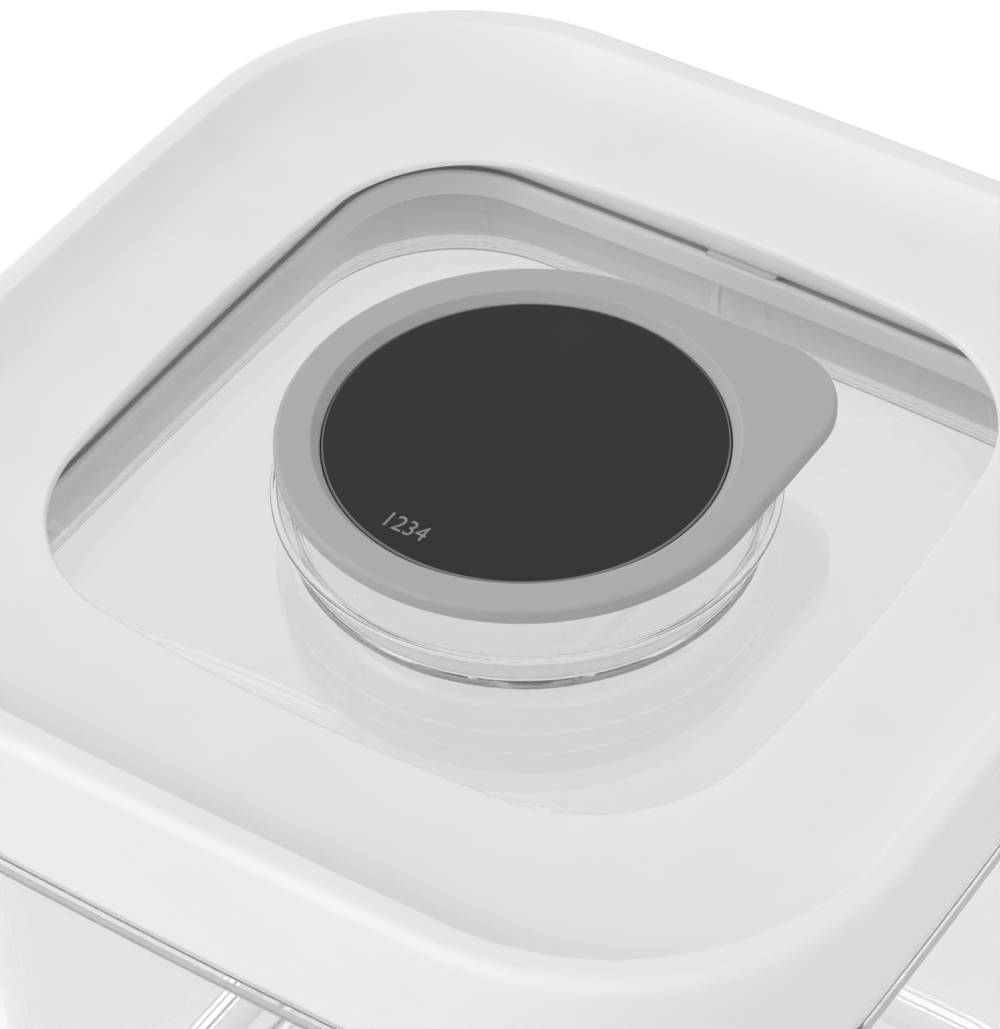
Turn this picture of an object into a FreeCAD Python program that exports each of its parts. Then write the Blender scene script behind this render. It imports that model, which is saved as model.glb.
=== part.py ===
import FreeCAD, Part
import math
import os

# Square vacuum-seal canister: a clear tub, a white lid frame round a clear window, and a pull-tab valve.
# Millimetres, +Z up, front towards -Y. The origin is under the tub's middle, on the surface it stands on.
# Most of the parts follow one plan outline, the lid's widest line, at their own inset from it.

# Plan outline: a square with slightly bowed sides and round corners
LID_WIDTH = 104.0
LID_CORNER = 28.0
SIDE_BOW = 1000.0

# Tub
TUB_HEIGHT = 90.0            # standing surface to the shoulder that the lid sits on
TUB_WALL = 3.0
TUB_DRAFT = 1.5              # degrees
NECK_WALL = 2.2
NECK_GAP = 1.0               # inside of the lid's skirt to the neck
NECK_ROUND = 0.9
SHOULDER_PROUD = 0.3         # beyond the lid's skirt
SHOULDER_THICKNESS = 2.4
SHOULDER_ROUND = 0.6
FLOOR_THICKNESS = 2.5
FLOOR_ROUND = 4.0
FOOT_HEIGHT = 4.5            # hollow under the floor, clears the valve of a canister below
FOOT_WIDTH = 7.0
FOOT_ROUND = 4.0

# Lid frame
FRAME_HEIGHT = 20.8          # shoulder to the crest of the lip
FRAME_WALL = 2.2
SKIRT_DRAFT = 10.8           # degrees
LIP_HEIGHT = 2.7             # crest above the flat band
LIP_WIDTH = 2.7              # lid's edge to the inner edge of the flat crest
LIP_EDGE = 1.0               # rounding outside
LIP_CREASE = 0.4             # rounding inside
LIP_SLOPE = 48.0             # degrees, inside of the lip
COVE_FILL = 0.98             # share of the slope that the hollow at its foot takes up
BAND_WIDTH = 17.1            # lid's edge to the opening, in the middle of a side
OPENING_BOW = 184.0
OPENING_CORNER = 16.0
OPENING_LAND = 0.7           # upright part of the opening's edge
OPENING_ROUND = 0.35
WELL_DEPTH = 4.5             # band to the bottom of the wall round the opening
WELL_WALL = 1.8
WELL_UNDERCUT = 1.7          # foot of that wall, outside the opening's edge
EDGE_ROUND = 0.5

# Clips that hold the window in the frame, two on each side
CLIP_WIDTH = 9.0
CLIP_SPACING = 32.0
CLIP_REACH = 0.9             # under the window's edge
CLIP_HEIGHT = 3.4
CLIP_FACE = 0.7
PRESS_RIB = 1.6
PRESS_OFFSET = 1.6           # rib behind the clip's tip

# Window
WINDOW_THICKNESS = 2.4
WINDOW_DROP = 2.2            # top of the window's floor below the well's wall
WINDOW_GAP = 2.0             # window's edge to the inside of the skirt
PLUG_DEPTH = 10.4            # clear skirt below the window
PLUG_WALL = 2.0
PLUG_FLARE = 3.8             # how far the skirt spreads towards its foot
PLUG_GAP = 0.4               # to the tub's neck
PLUG_ROUND = 0.6

# Collar on the window, round the well
SLOT_GAP = 0.3               # between the frame's well wall and the collar
SLOT_DROP = 0.3              # the collar's sole below the well's wall
COLLAR_RISE = 0.2            # top above the foot of the well's wall
COLLAR_WALL = 0.8            # at the top
COLLAR_LEAN = 0.4            # how far the inner face leans in towards its foot
COLLAR_ROUND = 0.35
COLLAR_FOOT = 2.0            # sole beyond the collar's outer face, under the well's wall
COLLAR_SEAT = 0.4            # depth of the groove that the sole sits in
LUG_WIDTH = 7.2              # lugs under the well's wall, front and back

# Valve boss on the window
BOSS_PROUD = 0.9             # rim beyond the valve's ring
BOSS_FLARE = 1.8
BOSS_HEIGHT = 4.5
BOSS_WALL = 1.0
BOSS_ROUND = 0.55            # coves at its foot
BELL_SHARE = 0.5             # height at which it begins to widen
BELL_ROUND = 2.0
RIM_ROUND = 0.3
VENT_RADIUS = 1.5
VENT_CIRCLE = 6.5
VENT_COUNT = 6

# Lid seal
SEAL_THICKNESS = 1.2         # leg between the window and the top of the neck
SEAL_EDGE_GAP = 0.4          # leg to the clips
SEAL_LIP_GAP = 0.45          # lips to the neck's mouth
SEAL_LIP_LENGTH = 0.55
SEAL_LIP_COUNT = 3
SEAL_LIP_FILL = 0.67         # share of their pitch that the lips take up
SEAL_FOOT = 2.9              # seal's lower edge above the clear skirt's

# Valve
DISC_RADIUS = 17.5
DISC_THICKNESS = 1.6
DISC_CHAMFER = 0.15
PEG_RADIUS = 2.0
PEG_LENGTH = 2.3
PEG_GAP = 1.0                # end of the peg to the flap's head
CAP_RIM = 4.1                # ring's edge beyond the disc
CAP_PROUD = 0.8              # ring's top above the disc
CAP_THICKNESS = 1.75         # ring and tab
CAP_ROUND = 0.45
CAP_BEVEL = 0.75
CAP_SIDE = 1.2               # dish round the disc
CAP_FLOOR = 1.55
TAB_ROUND = 8.1              # corner of the pull tab
HUB_RADIUS = 9.0
FLAP_RADIUS = 13.6
FLAP_EDGE = 0.6
FLAP_LIP = 1.0
FLAP_DOME = 1.3              # hollow under the flap
HEAD_RADIUS = 4.0
HEAD_HEIGHT = 2.0
STEM_RADIUS = 2.0
STEM_CLEARANCE = 0.9
STEM_SLACK = 3.2             # barb below the window, room for the valve to tilt
BARB_RADIUS = 3.6
BARB_LENGTH = 2.2
BARB_TIP = 1.2

# Fits
SEAT_GAP = 0.3               # soft part to its seat
FIT = 0.05
DISC_GAP = 0.15
OVERLAP = 1.0                # depth to which features of one part run into each other
ROUND_SHARE = 0.45           # most of a wall that the rounding of one of its edges takes up
TOLERANCE = 1e-4

# Heights
shoulder_z = TUB_HEIGHT
crest_z = shoulder_z + FRAME_HEIGHT
band_z = crest_z - LIP_HEIGHT
band_under_z = band_z - FRAME_WALL
well_z = band_z - WELL_DEPTH
window_z = well_z - WINDOW_DROP
window_under_z = window_z - WINDOW_THICKNESS
seat_z = window_z - COLLAR_SEAT
plug_z = window_under_z - PLUG_DEPTH
leg_z = window_under_z - SEAL_THICKNESS
seal_foot_z = plug_z + SEAL_FOOT
neck_z = leg_z - SEAT_GAP
flap_z = window_z + SEAT_GAP
dome_z = flap_z + FLAP_DOME
head_z = dome_z + FLAP_EDGE
head_top_z = head_z + HEAD_HEIGHT
barb_z = window_under_z - STEM_SLACK
disc_under_z = head_top_z + PEG_GAP + PEG_LENGTH
disc_z = disc_under_z + DISC_THICKNESS
pocket_z = disc_under_z - FIT
dish_z = pocket_z - CAP_FLOOR
cap_z = disc_z + CAP_PROUD
cap_under_z = cap_z - CAP_THICKNESS

# Radii of the valve's ring and of the boss round it
cap_radius = DISC_RADIUS + CAP_RIM
boss_radius = cap_radius + BOSS_PROUD - BOSS_FLARE

Z = FreeCAD.Vector(0, 0, 1)
ORIGIN = FreeCAD.Vector(0, 0, 0)


def bowed_square(width, bow, corner):
    """Eight arcs of a square with bowed sides and round corners: centre, radius, first and last angle."""
    side = width / 2 - bow
    reach = bow - corner
    middle = (side + math.sqrt(2 * reach**2 - side**2)) / 2
    turn = math.atan2(middle, middle - side)
    arcs = []
    for quarter in range(4):
        spin = FreeCAD.Rotation(Z, 90 * quarter)
        start = quarter * math.pi / 2
        side_centre = spin.multVec(FreeCAD.Vector(side, 0, 0))
        corner_centre = spin.multVec(FreeCAD.Vector(middle, middle, 0))
        arcs.append((side_centre, bow, start - turn, start + turn))
        arcs.append((corner_centre, corner, start + turn, start + math.pi / 2 - turn))
    return arcs


PLAN = bowed_square(LID_WIDTH, SIDE_BOW, LID_CORNER)
OPENING = bowed_square(LID_WIDTH - 2 * BAND_WIDTH, OPENING_BOW, OPENING_CORNER)


def loop(arcs, inset, z):
    """Closed wire of the arcs, moved inwards by inset, at height z."""
    edges = []
    for centre, radius, first, last in arcs:
        circle = Part.Circle(centre + Z * z, Z, radius - inset)
        edges.append(Part.ArcOfCircle(circle, first, last).toShape())
    return Part.Wire(edges)


def slab(arcs, inset, low, high):
    """Upright prism of an outline between two heights."""
    return Part.Face(loop(arcs, inset, low)).extrude(Z * (high - low))


def edge_round(radius, wall):
    """Rounding of a wall's edge, as far as the wall is thick enough for it."""
    return min(radius, ROUND_SHARE * wall)


def rounded_face(corners):
    """Face in the XZ plane through corners given as x, z, radius of the rounding there."""
    points = [FreeCAD.Vector(x, 0, z) for x, z, _ in corners]
    edges = []
    ends = []
    for i, (_, _, radius) in enumerate(corners):
        here = points[i]
        to_last = (points[i - 1] - here).normalize()
        to_next = (points[(i + 1) % len(points)] - here).normalize()
        if radius == 0:
            ends.append((here, here))
            continue
        half = to_last.getAngle(to_next) / 2
        run = radius / math.tan(half)
        inward = (to_last + to_next).normalize()
        first = here + to_last * run
        last = here + to_next * run
        middle = here + inward * (radius / math.sin(half) - radius)
        edges.append(Part.Arc(first, middle, last).toShape())
        ends.append((first, last))
    for i, (_, last) in enumerate(ends):
        first = ends[(i + 1) % len(ends)][0]
        if last.distanceToPoint(first) > TOLERANCE:
            edges.append(Part.LineSegment(last, first).toShape())
    return Part.Face(Part.Wire(Part.__sortEdges__(edges)))


def band(corners):
    """Ring that carries a profile round the plan outline; corners are inset, z, radius."""
    face = rounded_face([(-inset, z, radius) for inset, z, radius in corners])
    pieces = []
    for centre, radius, first, last in PLAN:
        section = face.copy()
        heading = FreeCAD.Rotation(Z, math.degrees(first))
        place = centre + heading.multVec(FreeCAD.Vector(radius, 0, 0))
        section.Placement = FreeCAD.Placement(place, heading)
        pieces.append(section.revolve(centre, Z, math.degrees(last - first)))
    return pieces[0].fuse(pieces[1:]).removeSplitter()


def turned(corners):
    """Solid of revolution about the Z axis; corners are radius, z, rounding."""
    return rounded_face(corners).revolve(ORIGIN, Z, 360)


def box(x0, x1, y0, y1, z0, z1):
    """Block between two corners."""
    return Part.makeBox(x1 - x0, y1 - y0, z1 - z0, FreeCAD.Vector(x0, y0, z0))


def skirt_inset(z):
    """Inset of the frame's outer skirt at height z; the lip's edge above it just reaches inset 0."""
    draft = math.radians(SKIRT_DRAFT)
    peak = LIP_EDGE * (1 - (1 + math.sin(draft)) / math.cos(draft))
    return peak + math.tan(draft) * (crest_z - z)


# Insets of what fits inside the frame
WINDOW_INSET = skirt_inset(window_under_z) + FRAME_WALL + WINDOW_GAP
CLIP_TIP = WINDOW_INSET + CLIP_REACH
WELL_INSET = BAND_WIDTH - WELL_UNDERCUT
COLLAR_OUTER = WELL_INSET + SLOT_GAP
SOLE_OUTER = COLLAR_OUTER - COLLAR_FOOT
SOLE_INNER = COLLAR_OUTER + COLLAR_WALL + COLLAR_LEAN


def tub_inset(z):
    """Inset of the tub's inner wall at height z."""
    at_shoulder = skirt_inset(shoulder_z) + FRAME_WALL + NECK_GAP + NECK_WALL
    return at_shoulder + math.tan(math.radians(TUB_DRAFT)) * (shoulder_z - z)


def plug_inset(z):
    """Inset of the outside of the window's clear skirt at height z."""
    foot = tub_inset(plug_z) + PLUG_GAP
    return foot + PLUG_FLARE * (z - plug_z) / PLUG_DEPTH


def lip_cove():
    """Foot of the lip's inner slope, radius of the hollow there, and the hollow's end on the band."""
    slope = math.radians(LIP_SLOPE)
    half = math.tan(slope / 2)
    foot = LIP_WIDTH + LIP_HEIGHT / math.tan(slope)
    crease = edge_round(LIP_CREASE, LIP_HEIGHT)
    radius = COVE_FILL * (LIP_HEIGHT / math.sin(slope) / half - crease)
    return foot, radius, foot + radius * half


def tub():
    floor_z = FOOT_HEIGHT + FLOOR_THICKNESS
    foot_inset = tub_inset(0) - TUB_WALL
    hollow_inset = foot_inset + FOOT_WIDTH
    shoulder_inset = skirt_inset(shoulder_z) - SHOULDER_PROUD
    under_z = shoulder_z - SHOULDER_THICKNESS
    neck_round = edge_round(NECK_ROUND, NECK_WALL)
    shoulder_round = edge_round(SHOULDER_ROUND, SHOULDER_THICKNESS)
    wall = band([
        (foot_inset, 0, FOOT_ROUND),
        (tub_inset(under_z) - TUB_WALL, under_z, shoulder_round),
        (shoulder_inset, under_z, shoulder_round),
        (shoulder_inset, shoulder_z, shoulder_round),
        (tub_inset(shoulder_z) - NECK_WALL, shoulder_z, EDGE_ROUND),
        (tub_inset(neck_z) - NECK_WALL, neck_z, neck_round),
        (tub_inset(neck_z), neck_z, neck_round),
        (tub_inset(floor_z), floor_z, FLOOR_ROUND),
        (hollow_inset + OVERLAP, floor_z, 0),
        (hollow_inset + OVERLAP, FOOT_HEIGHT, 0),
        (hollow_inset, FOOT_HEIGHT, 0),
        (hollow_inset, 0, EDGE_ROUND),
    ])
    floor = slab(PLAN, hollow_inset + OVERLAP, FOOT_HEIGHT, floor_z)
    return wall.fuse(floor).removeSplitter()


def clip_places():
    """Blocks that cut eight clips out of a ring, two on each side."""
    half = LID_WIDTH / 2
    blocks = []
    for quarter in range(4):
        for middle in (-CLIP_SPACING / 2, CLIP_SPACING / 2):
            block = box(half / 2, half, middle - CLIP_WIDTH / 2, middle + CLIP_WIDTH / 2, 0, crest_z)
            block.rotate(ORIGIN, Z, 90 * quarter)
            blocks.append(block)
    return Part.makeCompound(blocks)


def clips():
    """Ribs that press on the window's edge from above, and hooks that hold it from below."""
    hook_z = window_under_z - FIT
    hook_low_z = hook_z - CLIP_HEIGHT
    hooks = band([
        (skirt_inset(hook_z) + FRAME_WALL / 2, hook_z, 0),
        (CLIP_TIP, hook_z, 0),
        (CLIP_TIP, hook_z - CLIP_FACE, 0),
        (skirt_inset(hook_low_z) + FRAME_WALL / 2, hook_low_z, 0),
    ])
    rib_inset = CLIP_TIP + PRESS_OFFSET
    ribs = band([
        (rib_inset, window_z, 0),
        (rib_inset + PRESS_RIB, window_z, 0),
        (rib_inset + PRESS_RIB, band_under_z + OVERLAP, 0),
        (rib_inset, band_under_z + OVERLAP, 0),
    ])
    places = clip_places()
    return hooks.common(places), ribs.common(places)


def lid_frame():
    slope_foot, cove, cove_end = lip_cove()
    join = cove_end + OVERLAP
    skirt = band([
        (skirt_inset(shoulder_z), shoulder_z, EDGE_ROUND),
        (skirt_inset(crest_z), crest_z, edge_round(LIP_EDGE, LIP_WIDTH)),
        (LIP_WIDTH, crest_z, edge_round(LIP_CREASE, LIP_HEIGHT)),
        (slope_foot, band_z, cove),
        (join, band_z, 0),
        (join, band_under_z, 0),
        (skirt_inset(band_under_z) + FRAME_WALL, band_under_z, FRAME_WALL),
        (skirt_inset(shoulder_z) + FRAME_WALL, shoulder_z, EDGE_ROUND),
    ])
    plate = slab(PLAN, join, band_under_z, band_z)
    well = slab(PLAN, WELL_INSET - WELL_WALL, well_z, band_under_z)
    frame = skirt.fuse([plate, well]).removeSplitter()
    land_z = band_z - OPENING_LAND
    mouth = slab(OPENING, 0, land_z, band_z)
    undercut = Part.makeLoft([loop(OPENING, 0, land_z), loop(PLAN, WELL_INSET, well_z)], True, True)
    frame = frame.cut(mouth).cut(undercut)
    reach = LID_WIDTH / 2 - BAND_WIDTH + TOLERANCE
    brink = [edge for edge in frame.Edges
             if abs(edge.BoundBox.ZMin - band_z) < TOLERANCE and edge.BoundBox.ZLength < TOLERANCE
             and max(abs(edge.CenterOfMass.x), abs(edge.CenterOfMass.y)) < reach]
    frame = frame.makeFillet(OPENING_ROUND, brink)
    hooks, ribs = clips()
    return frame.fuse([hooks, ribs]).removeSplitter()


def boss():
    """Ring round the valve: upright with coves at its foot, then widening to its rim."""
    root_z = window_z - OVERLAP
    bell_z = window_z + BELL_SHARE * BOSS_HEIGHT
    rim_z = window_z + BOSS_HEIGHT
    outer = boss_radius + BOSS_FLARE
    inner = boss_radius - BOSS_WALL
    foot_outer = boss_radius + BOSS_ROUND + OVERLAP
    foot_inner = inner - BOSS_ROUND - OVERLAP
    rim_round = edge_round(RIM_ROUND, BOSS_WALL)
    return turned([
        (foot_inner, root_z, 0),
        (foot_outer, root_z, 0),
        (foot_outer, window_z, 0),
        (boss_radius, window_z, BOSS_ROUND),
        (boss_radius, bell_z, BELL_ROUND),
        (outer, rim_z, rim_round),
        (outer - BOSS_WALL, rim_z, rim_round),
        (inner, bell_z, BELL_ROUND),
        (inner, window_z, BOSS_ROUND),
        (foot_inner, window_z, 0),
    ])


def lid_window():
    root_z = window_under_z + OVERLAP
    plug_round = edge_round(PLUG_ROUND, PLUG_WALL)
    plug = band([
        (plug_inset(root_z), root_z, 0),
        (plug_inset(plug_z), plug_z, plug_round),
        (plug_inset(plug_z) + PLUG_WALL, plug_z, plug_round),
        (plug_inset(root_z) + PLUG_WALL, root_z, 0),
    ])
    plate = slab(PLAN, WINDOW_INSET, window_under_z, window_z)
    groove = slab(PLAN, SOLE_OUTER - FIT, seat_z, window_z)
    groove = groove.cut(slab(PLAN, SOLE_INNER + FIT, seat_z, window_z))
    window = plate.fuse([plug, boss()]).cut(groove).removeSplitter()
    drill = 2 * WINDOW_THICKNESS
    low = FreeCAD.Vector(0, 0, window_z - drill)
    holes = [Part.makeCylinder(STEM_RADIUS + STEM_CLEARANCE, 2 * drill, low)]
    for i in range(VENT_COUNT):
        angle = 2 * math.pi * i / VENT_COUNT
        place = FreeCAD.Vector(VENT_CIRCLE * math.cos(angle), VENT_CIRCLE * math.sin(angle), 0)
        holes.append(Part.makeCylinder(VENT_RADIUS, 2 * drill, low + place))
    return window.cut(holes)


def lid_collar():
    """Silicone ring in the window's groove: a thin wall on a wide sole, with lugs under the frame."""
    sole_z = well_z - SLOT_DROP
    collar_z = well_z + COLLAR_RISE
    top_round = edge_round(COLLAR_ROUND, COLLAR_WALL)
    collar = band([
        (SOLE_OUTER, seat_z, 0),
        (SOLE_OUTER, sole_z, 0),
        (COLLAR_OUTER, sole_z, 0),
        (COLLAR_OUTER, collar_z, top_round),
        (COLLAR_OUTER + COLLAR_WALL, collar_z, top_round),
        (SOLE_INNER, window_z, 0),
        (SOLE_INNER, seat_z, 0),
    ])
    lug_near = LID_WIDTH / 2 - COLLAR_OUTER - COLLAR_WALL / 2
    lug_far = LID_WIDTH / 2 - COLLAR_OUTER + COLLAR_FOOT / 2
    lug_half = LUG_WIDTH / 2
    for facing in (0, 180):
        lug = box(-lug_half, lug_half, lug_near, lug_far, window_z, well_z)
        lug.rotate(ORIGIN, Z, facing)
        collar = collar.fuse(lug)
    return collar.removeSplitter()


def lid_seal():
    """Silicone ring: a leg under the window's edge and a wedge with lips that face the tub's neck."""
    edge = CLIP_TIP + SEAL_EDGE_GAP
    lip_tip = tub_inset(neck_z) + SEAL_LIP_GAP
    lip_root = lip_tip + SEAL_LIP_LENGTH
    pitch = (leg_z - seal_foot_z) / SEAL_LIP_COUNT
    lip_half = SEAL_LIP_FILL * pitch / 2
    corners = [
        (plug_inset(window_under_z) - FIT, window_under_z, 0),
        (edge, window_under_z, 0),
        (edge, leg_z, 0),
        (lip_root, leg_z, 0),
    ]
    for i in range(SEAL_LIP_COUNT):
        lip_z = leg_z - pitch / 2 - pitch * i
        corners.append((lip_root, lip_z + lip_half, 0))
        corners.append((lip_tip, lip_z, 0))
        corners.append((lip_root, lip_z - lip_half, 0))
    corners.append((lip_root, seal_foot_z, 0))
    corners.append((plug_inset(seal_foot_z) - FIT, seal_foot_z, 0))
    return band(corners)


def cap_outline(z):
    """Circle with one square corner, towards +X +Y, rounded at its tip: the pull tab."""
    r = cap_radius
    straight = r - TAB_ROUND
    tab_centre = FreeCAD.Vector(straight, straight, z)
    ring = Part.ArcOfCircle(Part.Circle(Z * z, Z, r), math.pi / 2, 2 * math.pi)
    tip = Part.ArcOfCircle(Part.Circle(tab_centre, Z, TAB_ROUND), 0, math.pi / 2)
    near = Part.LineSegment(FreeCAD.Vector(r, 0, z), FreeCAD.Vector(r, straight, z))
    far = Part.LineSegment(FreeCAD.Vector(straight, r, z), FreeCAD.Vector(0, r, z))
    return Part.Wire([curve.toShape() for curve in (ring, near, tip, far)])


def valve_cap():
    ring = Part.Face(cap_outline(cap_under_z)).extrude(Z * CAP_THICKNESS)
    brims = [edge for edge in ring.Edges if edge.BoundBox.ZLength < TOLERANCE]
    ring = ring.makeFillet(edge_round(CAP_ROUND, CAP_THICKNESS), brims)
    pocket = DISC_RADIUS + DISC_GAP
    dish_radius = pocket + CAP_SIDE
    dish_top_z = cap_under_z + CAP_THICKNESS / 2
    hub_z = head_z + FIT
    dish = turned([
        (0, hub_z, 0),
        (HUB_RADIUS, hub_z, EDGE_ROUND),
        (HUB_RADIUS, dish_z, EDGE_ROUND),
        (dish_radius, dish_z, EDGE_ROUND),
        (dish_radius, dish_top_z, 0),
        (0, dish_top_z, 0),
    ])
    bed = turned([
        (0, pocket_z, 0),
        (pocket, pocket_z, 0),
        (pocket, disc_z - DISC_CHAMFER, 0),
        (pocket + CAP_BEVEL, cap_z, 0),
        (pocket + CAP_BEVEL, cap_z + OVERLAP, 0),
        (0, cap_z + OVERLAP, 0),
    ])
    socket = Part.makeCylinder(HEAD_RADIUS + FIT, HEAD_HEIGHT + FIT, Z * hub_z)
    peg_hole = Part.makeCylinder(PEG_RADIUS + FIT, pocket_z - hub_z, Z * hub_z)
    return ring.fuse(dish).cut([bed, socket, peg_hole]).removeSplitter()


def valve_disc():
    peg_z = disc_under_z - PEG_LENGTH
    return turned([
        (0, peg_z, 0),
        (PEG_RADIUS, peg_z, 0),
        (PEG_RADIUS, disc_under_z, 0),
        (DISC_RADIUS, disc_under_z, 0),
        (DISC_RADIUS, disc_z - DISC_CHAMFER, 0),
        (DISC_RADIUS - DISC_CHAMFER, disc_z, 0),
        (0, disc_z, 0),
    ])


def valve_flap():
    """Umbrella flap: barbed stem, hollow canopy and the head that plugs into the cap."""
    return turned([
        (0, barb_z - BARB_LENGTH, 0),
        (BARB_TIP, barb_z - BARB_LENGTH, 0),
        (BARB_RADIUS, barb_z, 0),
        (STEM_RADIUS, barb_z, 0),
        (STEM_RADIUS, dome_z, 0),
        (FLAP_RADIUS - FLAP_LIP, flap_z, 0),
        (FLAP_RADIUS, flap_z, 0),
        (FLAP_RADIUS, flap_z + FLAP_EDGE, 0),
        (HUB_RADIUS, head_z, 0),
        (HEAD_RADIUS, head_z, 0),
        (HEAD_RADIUS, head_top_z, 0),
        (0, head_top_z, 0),
    ])


NODES = {
    "container": tub,
    "lid_frame": lid_frame,
    "lid_window": lid_window,
    "lid_collar": lid_collar,
    "lid_seal": lid_seal,
    "valve_cap": valve_cap,
    "valve_disc": valve_disc,
    "valve_flap": valve_flap,
}

os.makedirs("parts", exist_ok=True)
for name, make in NODES.items():
    shape = make()
    shape.exportStep("parts/" + name + ".step")
    size = shape.optimalBoundingBox(True, False)
    print(name, len(shape.Solids), "solid,", shape.isValid(), "volume %.1f" % shape.Volume,
          "z %.2f to %.2f" % (size.ZMin, size.ZMax), "x %.2f to %.2f" % (size.XMin, size.XMax))
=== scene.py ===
import math

import bpy
import numpy as np
from mathutils import Matrix, Vector


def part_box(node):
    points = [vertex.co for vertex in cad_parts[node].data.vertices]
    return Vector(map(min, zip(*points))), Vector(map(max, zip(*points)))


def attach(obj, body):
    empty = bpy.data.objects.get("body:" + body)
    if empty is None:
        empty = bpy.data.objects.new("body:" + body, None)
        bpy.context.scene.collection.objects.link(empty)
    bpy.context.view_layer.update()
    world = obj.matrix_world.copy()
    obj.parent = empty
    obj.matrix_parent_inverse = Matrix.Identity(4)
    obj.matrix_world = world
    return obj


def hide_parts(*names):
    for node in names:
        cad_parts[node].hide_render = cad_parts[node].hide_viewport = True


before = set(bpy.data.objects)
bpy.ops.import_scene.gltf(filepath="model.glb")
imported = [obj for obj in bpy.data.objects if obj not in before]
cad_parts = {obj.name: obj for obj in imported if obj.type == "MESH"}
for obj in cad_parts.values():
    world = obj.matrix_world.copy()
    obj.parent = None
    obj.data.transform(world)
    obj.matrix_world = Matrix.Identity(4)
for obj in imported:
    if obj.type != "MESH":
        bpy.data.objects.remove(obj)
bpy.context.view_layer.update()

# Square vacuum-seal canister. Sizes are in millimetres until a mesh is made, angles in degrees.
MM = 0.001
UP = np.array((0.0, 0.0, 1.0))
TINY = 1e-12

# Sockets of the colour mixing node
FACTOR = 0
FIRST = 6
SECOND = 7
MIXED = 2

# Fineness of the surfaces
ARC_STEP = 9.0
SIDE_STEPS = 20
CORNER_STEPS = 24
RING_STEPS = 216
TAB_STEPS = 20

# Plan outline, the lid's widest line
LID_WIDTH = 104.0
LID_CORNER = 28.0
SIDE_BOW = 1000.0

# Tub
TUB_WALL = 3.0
TUB_DRAFT = 1.5
NECK_WALL = 2.2
NECK_GAP = 1.0
NECK_ROUND = 0.9
SHOULDER_PROUD = 0.3
SHOULDER_THICKNESS = 2.4
SHOULDER_ROUND = 0.25
FLOOR_THICKNESS = 2.5
FLOOR_ROUND = 4.0
FLOOR_MIDDLE = 24.0          # inset of the last row before the floor's centre
FOOT_HEIGHT = 4.5
FOOT_WIDTH = 7.0
FOOT_ROUND = 4.0

# Lid frame
FRAME_WALL = 2.2
SKIRT_DRAFT = 10.8
SKIRT_EDGE = 0.2
LIP_HEIGHT = 2.7
LIP_WIDTH = 2.7              # inset of the inner edge of the lip's flat crest
LIP_EDGE = 1.0
LIP_CREASE = 0.4
LIP_SLOPE = 48.0
COVE_FILL = 0.98
BAND_START = 10.0
BAND_WIDTH = 17.1
OPENING_BOW = 184.0
OPENING_CORNER = 16.0
OPENING_LAND = 0.7
OPENING_ROUND = 0.35
WELL_DEPTH = 4.5
WELL_WALL = 1.8
WELL_UNDERCUT = 1.7
WELL_ROUND = 0.3
EDGE_ROUND = 0.5
FOOT_SEAM = 0.6              # where the profile closes on the skirt's foot, as a share of the wall
CLIP_WIDTH = 9.0
CLIP_SPACING = 32.0
CLIP_REACH = 0.9
CLIP_HEIGHT = 3.4
CLIP_FACE = 0.7
PRESS_RIB = 1.6
PRESS_OFFSET = 1.6

# Collar round the well
SLOT_GAP = 0.3
SLOT_DROP = 0.7
COLLAR_DROP = 0.05           # collar's top below the well's wall
COLLAR_WALL = 0.8
COLLAR_LEAN = 0.4
COLLAR_ROUND = 0.3
COLLAR_FOOT = 2.0
LUG_WIDTH = 7.2

# Window
WINDOW_THICKNESS = 2.4
WINDOW_GAP = 2.0
PLUG_WALL = 2.0
PLUG_FLARE = 3.8
PLUG_GAP = 0.4
PLUG_ROUND = 0.6
BOSS_PROUD = 0.9
BOSS_FLARE = 1.8
BOSS_WALL = 1.0
BOSS_ROUND = 0.55
BELL_SHARE = 0.5
BELL_ROUND = 2.0
RIM_ROUND = 0.3

# Seal
SEAL_THICKNESS = 1.2
SEAL_EDGE_GAP = 0.4
SEAL_LIP_GAP = 0.45
SEAL_LIP_LENGTH = 0.55
SEAL_LIP_COUNT = 3
SEAL_LIP_FILL = 0.67
SEAL_ROUND = 0.15
CONTACT = 0.03               # how far a piece presses into the clear one that it touches

# Valve
DISC_THICKNESS = 1.6
DISC_CHAMFER = 0.15
DISC_GAP = 0.15
PEG_RADIUS = 2.0
CAP_THICKNESS = 1.75
CAP_ROUND = 0.45
CAP_EDGE = 1.2               # where the cap's flats begin, in roundings of its edge
CAP_BEVEL = 0.75
CAP_BEVEL_ROUND = 0.3
CAP_SIDE = 1.2
CAP_FLOOR = 1.55
TAB_ROUND = 8.1
HUB_RADIUS = 9.0
FLAP_EDGE = 0.6
FLAP_LIP = 1.0
FLAP_DOME = 1.3
FLAP_ROUND = 0.2
HEAD_RADIUS = 4.0
HEAD_HEIGHT = 2.0
STEM_RADIUS = 2.0
STEM_CLEARANCE = 0.9
BARB_RADIUS = 3.6
BARB_LENGTH = 2.2
BARB_TIP = 1.2
FIT = 0.05

# Number on the disc
NUMBER = "1234"
NUMBER_PLACE = (-2.5, -14.4)
NUMBER_LENGTH = 3.9
NUMBER_HEIGHT = 1.8
INK_THICKNESS = 0.02

# Camera, seen from the disc's middle
CAMERA_AZIMUTH = 34.2153
CAMERA_ELEVATION = 43.8656
CAMERA_ROLL = -1.6609
CAMERA_DISTANCE = 353.45
CAMERA_RIGHT = -2.219
CAMERA_UP = -6.522
CAMERA_LENS = 144.91
SENSOR = 36.0

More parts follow.
